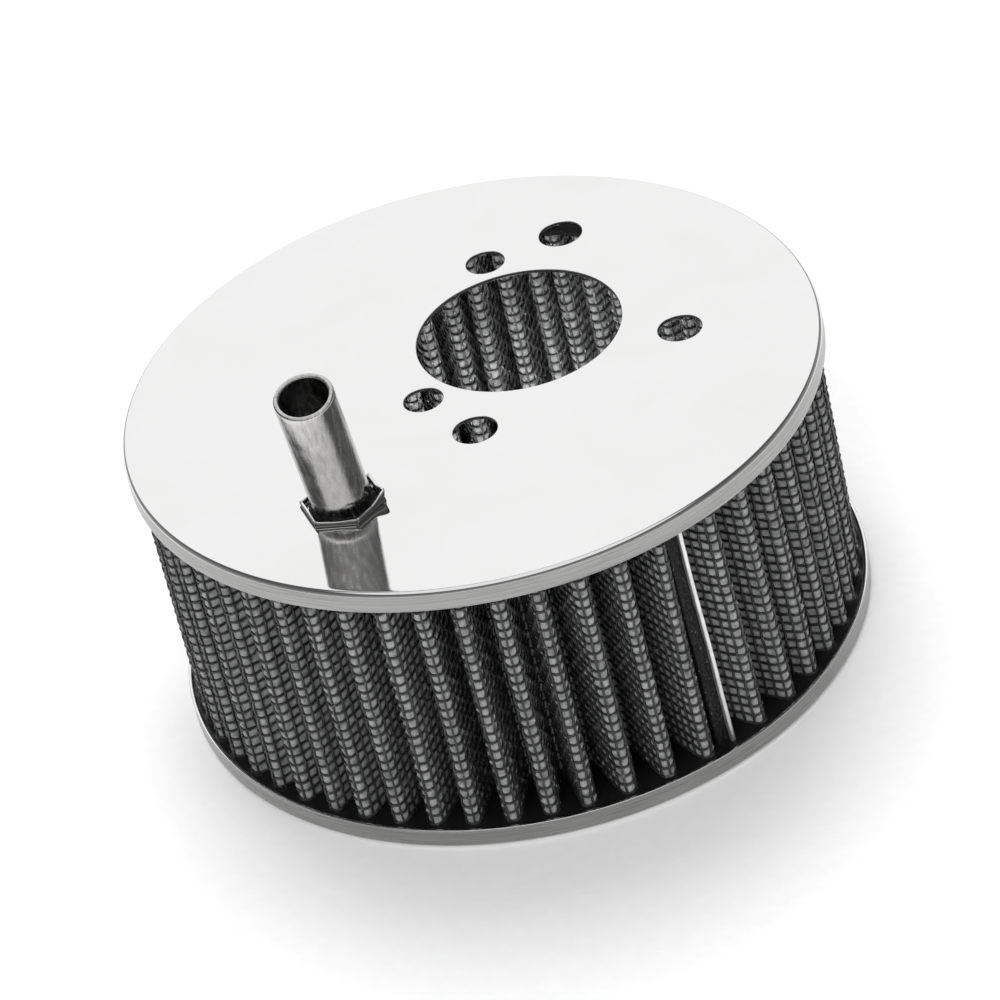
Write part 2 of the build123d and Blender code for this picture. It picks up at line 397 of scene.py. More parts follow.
class Graph:
    """A small helper for wiring nodes."""

    def __init__(self, tree):
        self.tree = tree

    def add(self, kind, **settings):
        """A node; settings named in_... go to its inputs."""
        made = self.tree.nodes.new(kind)
        for key, value in settings.items():
            if key.startswith("in_"):
                self.feed(made.inputs[key[3:].replace("_", " ")], value)
            else:
                setattr(made, key, value)
        return made

    def feed(self, socket, value):
        """Link an output to a socket, or set the socket's own value."""
        if hasattr(value, "is_output"):
            self.tree.links.new(value, socket)
        else:
            socket.default_value = value

    def span(self, value, low, high, new_low, new_high, easing="LINEAR"):
        """Map low..high to new_low..new_high, clamped."""
        made = self.add("ShaderNodeMapRange", interpolation_type=easing, in_Value=value)
        self.feed(made.inputs["From Min"], low)
        self.feed(made.inputs["From Max"], high)
        self.feed(made.inputs["To Min"], new_low)
        self.feed(made.inputs["To Max"], new_high)
        return made.outputs[0]

    def maths(self, operation, a, b):
        made = self.add("ShaderNodeMath", operation=operation)
        self.feed(made.inputs[0], a)
        self.feed(made.inputs[1], b)
        return made.outputs[0]


class Shader(Graph):
    """A procedural material."""

    def __init__(self, name):
        self.material = bpy.data.materials.new(name)
        self.material.use_nodes = True
        super().__init__(self.material.node_tree)
        self.skin = self.tree.nodes["Principled BSDF"]

    def set(self, **inputs):
        """Feed inputs of the surface itself."""
        for key, value in inputs.items():
            self.feed(self.skin.inputs[key.replace("_", " ")], value)

    def place(self, scale=(1, 1, 1), turn=(0, 0, 0), uv=None):
        """Coordinates in the frame, scaled; or the named UV layer's."""
        if uv:
            source = self.add("ShaderNodeUVMap", uv_map=uv).outputs[0]
        else:
            source = self.add("ShaderNodeTexCoord").outputs["Object"]
        mapping = self.add("ShaderNodeMapping", vector_type="POINT", in_Vector=source)
        mapping.inputs["Scale"].default_value = scale
        mapping.inputs["Rotation"].default_value = turn
        return mapping.outputs[0]

    def noise(self, vector, scale, detail, rough=0.55, distort=0.0):
        made = self.add("ShaderNodeTexNoise", in_Vector=vector, in_Scale=scale, in_Detail=detail)
        made.inputs["Roughness"].default_value = rough
        made.inputs["Distortion"].default_value = distort
        return made.outputs["Fac"]

    def ramp(self, value, *stops):
        made = self.add("ShaderNodeValToRGB")
        points = made.color_ramp.elements
        while len(points) < len(stops):
            points.new(0.5)
        for point, (position, colour) in zip(points, stops):
            point.position = position
            point.color = (*colour, 1.0)
        self.tree.links.new(value, made.inputs[0])
        return made.outputs[0]

    def bump(self, height, strength, distance, under=None):
        made = self.add("ShaderNodeBump", in_Height=height, in_Strength=strength, in_Distance=distance)
        if under is not None:
            self.tree.links.new(under, made.inputs["Normal"])
        return made.outputs[0]


def grey(value, warmth=0.0):
    """A grey, warmed slightly, or cooled if `warmth` is negative."""
    return (value * (1 + warmth), value, value * (1 - warmth))


def polished_steel():
    """Mirror-polished sheet: faint hairlines both ways, slight waviness, small smudges."""
    m = Shader("polished_steel")
    flat = m.place()
    lines = m.noise(m.place((140, 2600, 900)), 1.0, 3, 0.7)
    crossed = m.noise(m.place((2300, 110, 900), (0, 0, 0.5)), 1.0, 3, 0.7)
    smudge = m.noise(flat, 38, 5, 0.6, 0.8)
    wave = m.noise(flat, 14, 2, 0.4)
    hair = m.maths("MAXIMUM", lines, crossed)
    # the rolled rim is only satin-finished, with lines running round it; its dark grey colour is painted
    # shade
    normal = m.add("ShaderNodeNewGeometry").outputs["Normal"]
    facing = m.add("ShaderNodeSeparateXYZ", in_Vector=normal).outputs[2]
    rim = m.span(m.maths("ABSOLUTE", facing, 0.0), 0.15, 0.6, 1.0, 0.0)
    rolled = m.noise(m.place((60, 60, 5200)), 1.0, 3, 0.6)
    face = m.ramp(smudge, (0.25, grey(0.85, 0.004)), (0.75, grey(0.885, 0.0)))
    # painted shade: the rim's dark grey colour stands in for the dark surroundings it reflects, with
    # random variation along its lines
    side = m.ramp(rolled, (0.3, grey(0.25, 0.012)), (0.7, grey(0.40, 0.006)))
    tint = m.add("ShaderNodeMix", data_type="RGBA")
    m.feed(tint.inputs[0], rim)
    m.feed(tint.inputs[6], face)
    m.feed(tint.inputs[7], side)
    shine = m.maths("ADD", m.span(hair, 0.45, 0.8, 0.03, 0.075), m.span(smudge, 0.35, 0.8, 0.0, 0.03))
    satin = m.span(rolled, 0.3, 0.7, 0.24, 0.36)
    face_rough = m.maths("MULTIPLY", shine, m.maths("SUBTRACT", 1.0, rim))
    rough = m.maths("ADD", face_rough, m.maths("MULTIPLY", satin, rim))
    relief = m.bump(hair, 0.025, 0.00002)
    m.set(Base_Color=tint.outputs[2], Metallic=1.0, Roughness=rough)
    m.set(Normal=m.bump(wave, 0.03, 0.0005, relief))
    return m.material


def tube_steel(turn):
    """Drawn tube: streaks along its length, dull patches and a few handling marks."""
    m = Shader("tube_steel")
    level = turn.to_quaternion().inverted().to_euler()
    streak = m.noise(m.place((1100, 1100, 7), level), 1.0, 3, 0.6)
    fine = m.noise(m.place((5200, 5200, 90), level), 1.0, 2, 0.6)
    cloud = m.noise(m.place(), 210, 5, 0.65, 0.6)
    marks = m.maths("ADD", m.maths("MULTIPLY", cloud, 0.22), m.maths("MULTIPLY", streak, 0.78))
    tint = m.ramp(marks, (0.3, grey(0.42, 0.015)), (0.5, grey(0.62, 0.01)), (0.7, grey(0.78, 0.005)))
    rough = m.maths("ADD", m.span(streak, 0.3, 0.7, 0.14, 0.30), m.span(cloud, 0.4, 0.75, 0.0, 0.06))
    relief = m.bump(fine, 0.25, 0.00003)
    m.set(Base_Color=tint, Metallic=1.0, Roughness=rough)
    m.set(Normal=m.bump(streak, 0.35, 0.00012, relief))
    return m.material


def coated_wire(name, painted_light_gain):
    """Black-coated woven aluminium wire: grey rubbed patches, painted highlight specks, and a gain that
    lightens it all as painted light.
    """
    m = Shader(name)
    grain = m.noise(m.place(), 2600, 3, 0.6)
    patch = m.noise(m.place(), 260, 4, 0.6)
    # painted highlights: small bright specks standing in for the lamps' sparkle on the wires
    painted_glint = m.span(m.noise(m.place(), 1100, 2, 0.6), 0.56, 0.68, 0.0, 0.45)
    wear_and_painted_glint = m.maths("MAXIMUM", m.maths("MULTIPLY", patch, 0.55), painted_glint)
    tint = m.ramp(
        wear_and_painted_glint, (0.19, grey(0.014 * painted_light_gain)), (0.34, grey(0.034 * painted_light_gain)), (0.45, grey(0.15 * painted_light_gain))
    )
    m.set(Base_Color=tint, Metallic=0.0, Specular_IOR_Level=0.5)
    m.set(Roughness=m.span(grain, 0.3, 0.7, 0.32, 0.58), Coat_Weight=0.25, Coat_Roughness=0.3)
    m.set(Normal=m.bump(grain, 0.3, 0.00003))
    return m.material


def cotton_gauze():
    """Open-weave cotton: crossing threads in the cell grid, oil stains, loose fibres."""
    m = Shader("cotton_gauze")
    cell = m.place(uv="weave")
    threads_per_cell = 5.0
    threads = []
    for direction in ("X", "Y"):
        bands = m.add("ShaderNodeTexWave", wave_type="BANDS", bands_direction=direction, in_Vector=cell)
        bands.inputs["Scale"].default_value = threads_per_cell / 2
        bands.inputs["Distortion"].default_value = 1.3
        bands.inputs["Detail"].default_value = 1.5
        bands.inputs["Detail Scale"].default_value = 0.6
        threads.append(bands.outputs["Fac"])
    cloth = m.maths("MAXIMUM", *threads)
    fibre = m.noise(m.place(), 3400, 3, 0.7)
    stain = m.noise(m.place(), 90, 4, 0.6)
    body = m.maths("ADD", m.maths("MULTIPLY", cloth, 0.62), m.maths("MULTIPLY", fibre, 0.5))
    # painted fill light: the cloth is painted paler down in the pleats, standing in for light that the
    # lamps don't bring into the folds
    painted_fill_mask = m.add("ShaderNodeAttribute", attribute_name="painted_fill_reach").outputs["Fac"]
    patchy = m.span(m.noise(m.place(), 560, 2, 0.65), 0.3, 0.7, 0.55, 1.42)
    # real oil stains, times the painted fill light that pales the cloth deep in the pleats
    stain_and_painted_fill = m.maths(
        "MULTIPLY", m.span(stain, 0.3, 0.72, 0.85, 1.05), m.span(painted_fill_mask, 0.55, 0.97, 1.6, 0.95)
    )
    shade = m.maths("MULTIPLY", body, m.maths("MULTIPLY", stain_and_painted_fill, patchy))
    tint = m.ramp(shade, (0.2, grey(0.10, -0.02)), (0.6, grey(0.26, -0.015)), (1.0, grey(0.44, -0.01)))
    m.set(Base_Color=tint, Roughness=0.88, Specular_IOR_Level=0.25)
    m.set(Sheen_Weight=0.15, Sheen_Roughness=0.5)
    m.set(Normal=m.bump(body, 0.6, 0.00009))
    return m.material


def potting():
    """Poured black resin: glossy where it settled, with fine dust and slow ripples."""
    m = Shader("potting")
    ripple = m.noise(m.place(), 170, 3, 0.5)
    dust = m.noise(m.place(), 1900, 4, 0.7)
    tint = m.ramp(dust, (0.45, grey(0.006)), (0.72, grey(0.012)), (0.86, grey(0.05)))
    m.set(Base_Color=tint, Roughness=m.span(dust, 0.35, 0.75, 0.28, 0.52), Specular_IOR_Level=0.4)
    m.set(Normal=m.bump(ripple, 0.35, 0.0005, m.bump(dust, 0.2, 0.00006)))
    return m.material


def sealant():
    """Smeared black sealant: tool marks along it, pits, and grey specks of lint."""
    m = Shader("sealant")
    drag = m.noise(m.place((900, 900, 110)), 1.0, 4, 0.6, 0.5)
    speck = m.add("ShaderNodeTexVoronoi", feature="F1", in_Vector=m.place(), in_Scale=900.0)
    dots = m.span(speck.outputs["Distance"], 0.10, 0.22, 1.0, 0.0)
    sparse = m.span(m.noise(m.place(), 420, 2), 0.48, 0.56, 0.0, 1.0)
    grit = m.span(m.noise(m.place(), 2300, 3, 0.7), 0.5, 0.72, 0.0, 0.35)
    lint = m.maths("MAXIMUM", m.maths("MULTIPLY", dots, sparse), grit)
    tint = m.ramp(lint, (0.0, grey(0.005)), (1.0, grey(0.16)))
    m.set(Base_Color=tint, Roughness=m.span(drag, 0.3, 0.7, 0.45, 0.75), Specular_IOR_Level=0.18)
    m.set(Normal=m.bump(drag, 0.5, 0.0003))
    return m.material


def seam_aluminium():
    """Bright folded strip, rubbed along its edge."""
    m = Shader("seam_aluminium")
    rub = m.noise(m.place((1200, 1200, 160)), 1.0, 4, 0.65)
    mark = m.noise(m.place(), 320, 4, 0.6)
    tint = m.ramp(mark, (0.3, grey(0.66)), (0.6, grey(0.86)), (0.85, grey(0.92)))
    m.set(Base_Color=tint, Metallic=0.85, Roughness=m.span(rub, 0.3, 0.7, 0.25, 0.5))
    m.set(Normal=m.bump(rub, 0.3, 0.00008))
    return m.material


def studio_floor():
    """Pale paper floor with a faint grain."""
    m = Shader("studio_floor")
    grain = m.noise(m.place(), 300, 4, 0.6)
    m.set(Base_Color=m.ramp(grain, (0.3, grey(0.90)), (0.7, grey(0.93))), Roughness=0.75)
    m.set(Specular_IOR_Level=0.15)
    return m.material


steel = polished_steel()
cotton = cotton_gauze()
resin = potting()
filler = sealant()

# ---- wire meshes ---------------------------------------


def wire_mesh(node, shift, hoop_sides, material):
    """Both directions of a woven wire mesh laid over the pleats."""
    profile = Profile(shift, arc_step=0.62 * MM)
    heights = np.arange(first_hoop, media_top, wire_pitch)
    row_sign = np.where(np.arange(len(heights)) % 2 == 0, 1.0, -1.0)

    cells = np.flatnonzero(profile.crossing)[:, None]
    number = np.round(profile.s[cells] / profile.step).astype(int)
    offset = -weave_height * np.where(number % 2 == 0, 1.0, -1.0) * row_sign
    z = heights.copy()
    z[0], z[-1] = media_bottom, media_top
    centre = place(profile, offset, z, cells)
    out = outward(profile, offset, z, cells)
    side = np.cross(out, (0.0, 0.0, 1.0))
    centre = centre + side * wire_wander * chance.standard_normal(offset.shape)[..., None]
    points, quads = wires(centre, out, side, sides=4, closed=False)
    make_mesh(f"{node}_uprights", points, quads, node, "coated_wire", material)

    swing = weave_height * np.cos(np.pi * profile.s / profile.step)
    half = len(heights) // 2
    for part, rows in (("low", slice(0, half)), ("high", slice(half, None))):
        offset = swing * row_sign[rows, None]
        knots = chance.standard_normal((len(offset), profile.cells + 1))
        knots[:, -1] = knots[:, 0]
        wander = [np.interp(profile.s / profile.step, np.arange(profile.cells + 1), k) for k in knots]
        z = heights[rows, None] + wire_wander * np.array(wander)
        centre = place(profile, offset, z)
        up = np.broadcast_to((0.0, 0.0, 1.0), centre.shape)
        out = outward(profile, offset, z)
        points, quads = wires(centre, out, up, sides=hoop_sides, closed=True)
        make_mesh(f"{node}_hoops_{part}", points, quads, node, "coated_wire", material)


outer_coating = coated_wire("coated_wire", painted_light_gain=1.0)
# the inside mesh is a lighter copy of the same wire: painted light for the light that falls into the bore
inner_painted_light_coating = coated_wire("coated_wire_inside_painted_light", painted_light_gain=3.2)
wire_mesh("outer_mesh", outer_wire_shift, hoop_sides=5, material=outer_coating)
wire_mesh("inner_mesh", inner_wire_shift, hoop_sides=4, material=inner_painted_light_coating)

# ---- cotton layers -------------------------------------


def cotton_layer(node, shift, wire_shift, cushion):
    """One layer of gauze; `cushion` is how far it bulges through the wires' cells.

    The bulge goes outwards if it is positive and inwards if it is negative.  A layer
    inside the stack has none.
    """
    arc_step = (0.86 if cushion else 1.2) * MM
    profile = Profile(wire_shift, arc_step, halved=bool(cushion))
    columns = len(profile.s)
    if cushion:
        half_rows = 2 * int((media_top - first_hoop) / wire_pitch)
        heights = first_hoop + np.arange(2, half_rows) * wire_pitch / 2
        heights = np.concatenate([[media_bottom], heights, [media_top]])
    else:
        flat_rows = 8
        heights = np.linspace(media_bottom, media_top, flat_rows)
    rows = len(heights)
    puff = np.abs(np.sin(np.pi * profile.s / profile.step))
    puff = puff * np.abs(np.sin(np.pi * (heights - first_hoop) / wire_pitch))[:, None]
    uneven = np.clip(1 + cushion_spread * chance.standard_normal(puff.shape), 0.4, 1.7)
    depth = shift - wire_shift
    face = place(profile, depth + cushion * puff * uneven, heights[:, None])

    back_rows = 4
    back_heights = np.linspace(media_bottom, media_top, back_rows)
    back_depth = depth - math.copysign(cloth_thickness, cushion or 1)
    back = place(profile, np.full((back_rows, columns), back_depth), back_heights[:, None])

    inward = cushion < 0
    back_start = rows * columns
    last_row, back_last_row = (rows - 1) * columns, back_start + (back_rows - 1) * columns
    quads = np.concatenate([
        turned(sheet_quads(rows, columns), inward),
        turned(sheet_quads(back_rows, columns, back_start), not inward),
        turned(band(0, back_start, columns), not inward),
        turned(band(last_row, back_last_row, columns), inward),
    ])

    # the weave runs on past the last column instead of starting again
    u = np.append(profile.s, profile.length) / profile.step
    v = np.concatenate([heights, back_heights]) / wire_pitch
    row, column = quads // columns, quads % columns
    wrapped = (column == 0) & (column.max(axis=1, keepdims=True) == columns - 1)
    uv = np.stack([u[np.where(wrapped, columns, column)], v[row]], -1)

    points = np.concatenate([face.reshape(-1, 3), back.reshape(-1, 3)])
    reach = np.hypot(points[:, 0], points[:, 1])
    # 0 at the inner folds and 1 at the tips; the cotton material paints the cloth paler where it is low,
    # as painted fill light
    painted_fill_reach = (reach - pleat_inner_radius) / (pleat_outer_radius - pleat_inner_radius)
    # on the inner layer it runs from 1 at the inner tips to 0.5 deep in the folds, so these get the
    # painted fill light too
    if wire_shift < 0:
        painted_fill_reach = 1 - 0.5 * painted_fill_reach
    make_mesh(f"{node}_cloth", points, quads, node, "cotton_gauze", cotton, uv, painted_fill_reach)


cotton_layer("gauze_layer_1", layer_shifts[0], outer_wire_shift, cushion_height)
cotton_layer("gauze_layer_2", layer_shifts[1], outer_wire_shift, 0.0)
cotton_layer("gauze_layer_3", layer_shifts[2], inner_wire_shift, 0.0)
cotton_layer("gauze_layer_4", layer_shifts[3], inner_wire_shift, -cushion_height)

# ---- potting rings -------------------------------------

potting_inner_radius = 56.0 * MM


def resin_relief(r, a, near):
    """Rise of the poured surface at a radius, an angle and a distance from the media.

    It is drawn up at the pleats and the rim, and droops at the inner edge.
    """
    at_pleats = 0.55 * np.exp(-np.maximum(near - media_half, 0) / (0.45 * MM))
    at_rim = 0.30 * np.exp(-(rim_inner_radius - r) / (0.35 * MM))
    ripples = 0.10 * np.sin(7 * a + 1.3) * np.sin(23 * a + 0.4) + 0.05 * np.sin(61 * a + r * 900)
    at_inner_edge = 0.9 * np.exp(-(r - potting_inner_radius) / (0.6 * MM))
    settled = 0.25
    return (at_pleats + at_rim + ripples - at_inner_edge - settled) * MM


def potting_ring(title, node, surface, floor):
    """A poured ring between its open surface and the plate it lies in."""
    around, across = 900, 32
    guide = Profile(0.0, arc_step=0.7 * MM, halved=True)
    line = place(guide, np.zeros(len(guide.s)), surface)
    tree = kdtree.KDTree(len(line))
    for i, (x, y, _) in enumerate(line):
        tree.insert((x, y, 0.0), i)
    tree.balance()
    turn = 2 * np.pi * np.arange(around) / around
    reach = np.linspace(potting_inner_radius, rim_inner_radius, across + 1)
    r, a = np.meshgrid(reach, turn, indexing="ij")
    x, y = r * np.cos(a), r * np.sin(a)
    near = np.array([tree.find((px, py, 0.0))[2] for px, py in zip(x.ravel(), y.ravel())])
    way = 1.0 if surface > floor else -1.0
    top = np.stack([x, y, surface + way * resin_relief(r, a, near.reshape(x.shape))], -1)
    bottom = np.stack([x, y, np.full(x.shape, floor)], -1)[[0, -1]]
    below = (across + 1) * around
    quads = np.concatenate([
        turned(sheet_quads(across + 1, around), way > 0),
        turned(sheet_quads(2, around, below), way < 0),
        turned(band(0, below, around), way < 0),
        turned(band(across * around, below + around, around), way > 0),
    ])
    points = np.concatenate([top.reshape(-1, 3), bottom.reshape(-1, 3)])
    make_mesh(title, points, quads, node, "potting", resin)


potting_ring("cover_end_resin", "cover_end_potting", cover_pot_high.z, cover_pot_low.z)
potting_ring("base_end_resin", "base_end_potting", base_pot_low.z, base_pot_high.z)

# ---- seam: clipped strip and the sealant beside it -----

strip_angle = -38.2
strip_lean = lean_at(-38.0)
strip_inner, strip_outer = 63.0 * MM, 71.9 * MM
strip_half = 0.5 * MM
strip_round = 0.35 * MM


def seam_sweep(title, node, slot, material, outline, levels, wander, swell):
    """Sweep a closed outline of (radius, side) points up the leaning seam.

    It strays sideways by `wander` and outwards by `swell`.
    """
    z = np.linspace(media_bottom, media_top, levels)
    level = (z - media_bottom) / (media_top - media_bottom)
    lean = np.radians(strip_lean) * (0.5 - level)
    drift = wander * (np.sin(5.1 * level + 0.6) + 0.5 * np.sin(13.0 * level + 2.0))
    bulge = swell * np.sin(31 * level + 0.5) * np.sin(17 * level)
    outline = np.array(outline)
    radius = outline[:, 0] + bulge[:, None]
    side = outline[:, 1] + drift[:, None]
    angle = math.radians(strip_angle) + lean[:, None]
    x = radius * np.cos(angle) - side * np.sin(angle)
    y = radius * np.sin(angle) + side * np.cos(angle)
    rings = np.stack([x, y, np.broadcast_to(z[:, None], x.shape)], -1)
    points, faces = loft(rings)
    make_mesh(title, points, faces, node, slot, material)


def strip_outline():
    """Outline of the folded strip, flat inside and rounded at its nose."""
    nose = strip_outer - strip_round
    outline = [(strip_inner, -strip_half), (nose, -strip_half)]
    for turn in np.radians(np.linspace(-60, 60, 5)):
        outline.append((nose + strip_round * math.cos(turn), strip_half * math.sin(turn)))
    return outline + [(nose, strip_half), (strip_inner, strip_half)]


# from the inner fold out along the last pleat, then back along the strip
sealant_outline = np.array([
    (60.3, -0.6), (66.0, -2.1), (70.5, -3.5), (71.0, -3.2), (70.7, -2.4),
    (70.4, -1.6), (70.5, -1.0), (70.9, -0.52), (64.0, -0.45),
]) * MM

seam_sweep(
    "seam_clip", "seam_strip", "seam_aluminium", seam_aluminium(), strip_outline(),
    levels=60, wander=0.10 * MM, swell=0.0,
)
seam_sweep(
    "seam_filler", "seam_sealant", "sealant", filler, sealant_outline,
    levels=90, wander=0.05 * MM, swell=0.12 * MM,
)

# ---- plates: pressed sheet with a rolled rim -----------

rim_bend, lip_round = 1.2 * MM, 0.25 * MM
burr = 0.12 * MM                 # rounding of a punched hole's edge
flat_radius = filter_radius - rim_bend - 0.5 * MM


def arc_points(centre_r, centre_z, radius, start, end, steps):
    """Points of (radius, height) along an arc between two angles."""
    turns = np.radians(np.linspace(start, end, steps + 1))
    return [(centre_r + radius * math.cos(t), centre_z + radius * math.sin(t)) for t in turns]


def lathe(profile, around, closed=False):
    """Points and quads of a (radius, height) profile turned about +Z."""
    profile = np.array(profile)
    turn = 2 * np.pi * np.arange(around) / around
    x = profile[:, :1] * np.cos(turn)
    y = profile[:, :1] * np.sin(turn)
    z = np.broadcast_to(profile[:, 1:], x.shape)
    points = np.stack([x, y, z], -1).reshape(-1, 3)
    quads = sheet_quads(len(profile), around)
    if closed:
        quads = np.concatenate([quads, band((len(profile) - 1) * around, 0, around)])
    return points, quads


def filled(loops, z, upward):
    """Flat triangles between an outer loop and the holes in it, at height z."""
    sculpt = bmesh.new()
    for loop in loops:
        made = [sculpt.verts.new((x, y, z)) for x, y in loop]
        for i, vertex in enumerate(made):
            sculpt.edges.new((vertex, made[(i + 1) % len(made)]))
    bmesh.ops.triangle_fill(sculpt, edges=sculpt.edges[:], use_beauty=True, normal=(0, 0, 1))
    sculpt.verts.index_update()
    points = np.array([v.co[:] for v in sculpt.verts])
    triangles = np.array([[v.index for v in f.verts] for f in sculpt.faces])
    sculpt.free()
    a, b, c = (points[triangles[:, k]] for k in range(3))
    normal = np.cross(b - a, c - a)[:, 2]
    wrong = (normal > 0) != upward
    triangles[wrong] = triangles[wrong][:, ::-1]
    return points, [triangles]


def ring(x, y, radius, count, stretch=1.0, heading=0.0):
    """Points round an ellipse that is stretched along a heading in radians."""
    turn = 2 * np.pi * np.arange(count) / count
    along, across = radius * stretch * np.cos(turn), radius * np.sin(turn)
    cosine, sine = math.cos(heading), math.sin(heading)
    return np.stack([x + along * cosine - across * sine, y + along * sine + across * cosine], -1)


class Hole:
    """A round hole along +Z, or along an axis that leans by `tilt` towards `heading`.

    Both angles are in radians.
    """

    points = 96

    def __init__(self, x, y, radius, tilt=0.0, heading=0.0):
        self.x, self.y, self.radius = x, y, radius
        self.tilt, self.heading = tilt, heading

    def loop(self, down, spread):
        """Its outline at a depth below the plate's outer face, widened by `spread`."""
        shift = down * math.tan(self.tilt)
        x = self.x - shift * math.cos(self.heading)
        y = self.y - shift * math.sin(self.heading)
        return ring(x, y, self.radius + spread, self.points, 1 / math.cos(self.tilt), self.heading)

    def wall(self, outer_z, way):
        """Points and quads of its wall, with both edges rounded."""
        edges = (
            (0.0, burr), (0.3 * burr, 0.35 * burr), (burr, 0.0),
            (sheet - 0.4 * burr, 0.0), (sheet, 0.4 * burr),
        )
        rows = [
            np.column_stack([self.loop(down, spread), np.full(self.points, outer_z - way * down)])
            for down, spread in edges
        ]
        return np.concatenate(rows), sheet_quads(len(edges), self.points)


def rim_profile():
    """Section of a plate's edge, from its outer face to its inner face."""
    inside = filter_radius - sheet
    inner_bend = rim_bend - sheet
    section = [(flat_radius, 0.0)]
    section += arc_points(filter_radius - rim_bend, -rim_bend, rim_bend, 90, 0, 12)
    section += [(filter_radius, -rim_height + 3 * lip_round)]
    section += arc_points(filter_radius - lip_round, -rim_height + lip_round, lip_round, 0, -90, 4)
    section += arc_points(inside + lip_round, -rim_height + lip_round, lip_round, -90, -180, 4)
    section += arc_points(inside - inner_bend, -rim_bend, inner_bend, 0, 90, 5)
    return section + [(flat_radius, -sheet)]


def plate(title, node, outer_z, way, holes):
    """A dished plate with its holes; `way` is +1 when its outer face looks up."""
    around = 480
    points, quads = lathe([(r, outer_z + way * z) for r, z in rim_profile()], around)
    parts = [(points, [turned(quads, way > 0)])]
    edge = ring(0, 0, flat_radius, around)
    for down, upward, spread in ((0.0, way > 0, burr), (sheet, way < 0, 0.4 * burr)):
        loops = [edge] + [hole.loop(down, spread) for hole in holes]
        parts.append(filled(loops, outer_z - way * down, upward))
    for hole in holes:
        points, quads = hole.wall(outer_z, way)
        parts.append((points, [turned(quads, way < 0)]))
    make_mesh(title, *joined(parts), node, "polished_steel", steel)


mounts = {mount["name"]: mount for mount in frame["record"]["mounts"]}
tube_mount = mounts["breather_tube_outside"]
tube_axis = Vector(tube_mount["axis"]).normalized()
tube_turn = Vector((0, 0, 1)).rotation_difference(tube_axis).to_matrix()
tube_tilt = math.acos(tube_axis.z)
tube_heading = math.atan2(tube_axis.y, tube_axis.x)
tube_middle = Vector(tube_mount["pos_m"])
tube_base = tube_middle + tube_axis * ((filter_height - tube_middle.z) / tube_axis.z)
tube_radius = tube_mount["dims"]["r_mm"] * MM
foot_radius = tube_radius - 0.2 * MM
tube_clearance = 0.05 * MM


def plate_holes():
    """The base plate's holes: the mounts' and the tube's own."""
    found = []
    for mount in mounts.values():
        x, y, _ = mount["pos_m"]
        if mount["kind"] == "bore":
            found.append(Hole(x, y, mount["dims"]["r_mm"] * MM))
        if mount["kind"] == "bolt_pattern":
            gap = mount["dims"]["spacing_y_mm"] * MM / 2
            radius = mount["dims"]["hole_r_mm"] * MM
            found += [Hole(x, y - gap, radius), Hole(x, y + gap, radius)]
    tube_hole = Hole(tube_base.x, tube_base.y, foot_radius + tube_clearance, tube_tilt, tube_heading)
    return found + [tube_hole]


plate("base_plate_sheet", "base_plate", filter_height, 1, plate_holes())
plate("cover_plate_sheet", "cover_plate", 0.0, -1, [])

# ---- breather tube, petals and solder ------------------


def tube_profile():
    """Section of the tube's wall along its own axis, from the foot up."""
    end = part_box("breather_tube")[1].z
    length = (end - filter_height - tube_radius * math.sin(tube_tilt)) / math.cos(tube_tilt)
    wall, inside, foot_height, end_round = 1.2 * MM, 3.2 * MM, 3.4 * MM, 0.42 * MM
    bore = tube_radius - wall
    section = [(bore, -inside), (foot_radius, -inside), (foot_radius, foot_height)]
    section += [(tube_radius, foot_height + 0.1 * MM)]
    section += [(tube_radius, length * part) for part in (0.2, 0.4, 0.6, 0.8, 0.95)]
    section += arc_points(tube_radius - end_round, length - end_round, end_round, 0, 90, 6)
    section += arc_points(bore + end_round, length - end_round, end_round, 90, 180, 6)
    return section + [(bore, length * part) for part in (0.9, 0.6, 0.3)]


points, quads = lathe(tube_profile(), around=128, closed=True)
points = points @ np.array(tube_turn).T + np.array(tube_base)
make_mesh("breather_tube_drawn", points, quads, "breather_tube", "tube_steel", tube_steel(tube_turn))

collar_low, collar_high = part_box("breather_collar")
collar_centre = (collar_low + collar_high) / 2
collar_apothem = 7.7 * MM
collar_turn = -53.0
petal_thickness = 0.62 * MM

# height of each petal at its left end, middle and right end in millimetres, and how
# far it splays outwards for its height
petals = (
    (1.35, 1.15, 1.4, 0.05), (1.5, 1.5, 2.9, 0.22), (2.9, 1.7, 1.6, 0.16),
    (1.5, 1.7, 2.5, 0.12), (2.5, 1.3, 1.3, 0.2), (1.3, 1.55, 1.25, 0.04),
)


def petal(index, left_height, middle_height, right_height, splay):
    """One flap of plate metal bent up along a side of the six-sided punching."""
    facing = collar_turn - 30 + 60 * index
    out = np.array([*unit(facing), 0.0])
    along = np.array([*unit(facing + 90), 0.0])
    up = np.array([0.0, 0.0, 1.0])
    half = 0.99 * collar_apothem * math.tan(math.radians(30))
    foot = collar_apothem - petal_thickness
    nose = 0.25 * petal_thickness
    rings = []
    for t in np.linspace(-1, 1, 15):
        rise = smooth(0.0, 1.0, np.abs(t))
        height = middle_height * (1 - rise) + rise * (left_height if t < 0 else right_height)
        tilt = splay * height
        section = [
            (foot, -0.05 * MM), (foot + tilt * 0.5, height * 0.5), (foot + tilt, height - nose),
            (foot + tilt + nose, height), (foot + tilt + petal_thickness - nose, height),
            (foot + tilt + petal_thickness, height - nose),
            (foot + tilt * 0.5 + petal_thickness, height * 0.5), (collar_apothem, 0.3 * MM),
            (collar_apothem + 0.35 * MM, -0.05 * MM),
        ]
        base = np.array([collar_centre.x, collar_centre.y, filter_height]) + along * t * half
        rings.append([base + out * r + up * z for r, z in section])
    return loft(np.array(rings))


def collar_petals():
    """All six petals as one piece."""
    parts = [
        petal(index, left * MM, middle * MM, right * MM, splay)
        for index, (left, middle, right, splay) in enumerate(petals)
    ]
    make_mesh("breather_collar_petals", *joined(parts), "breather_collar", "polished_steel", steel)


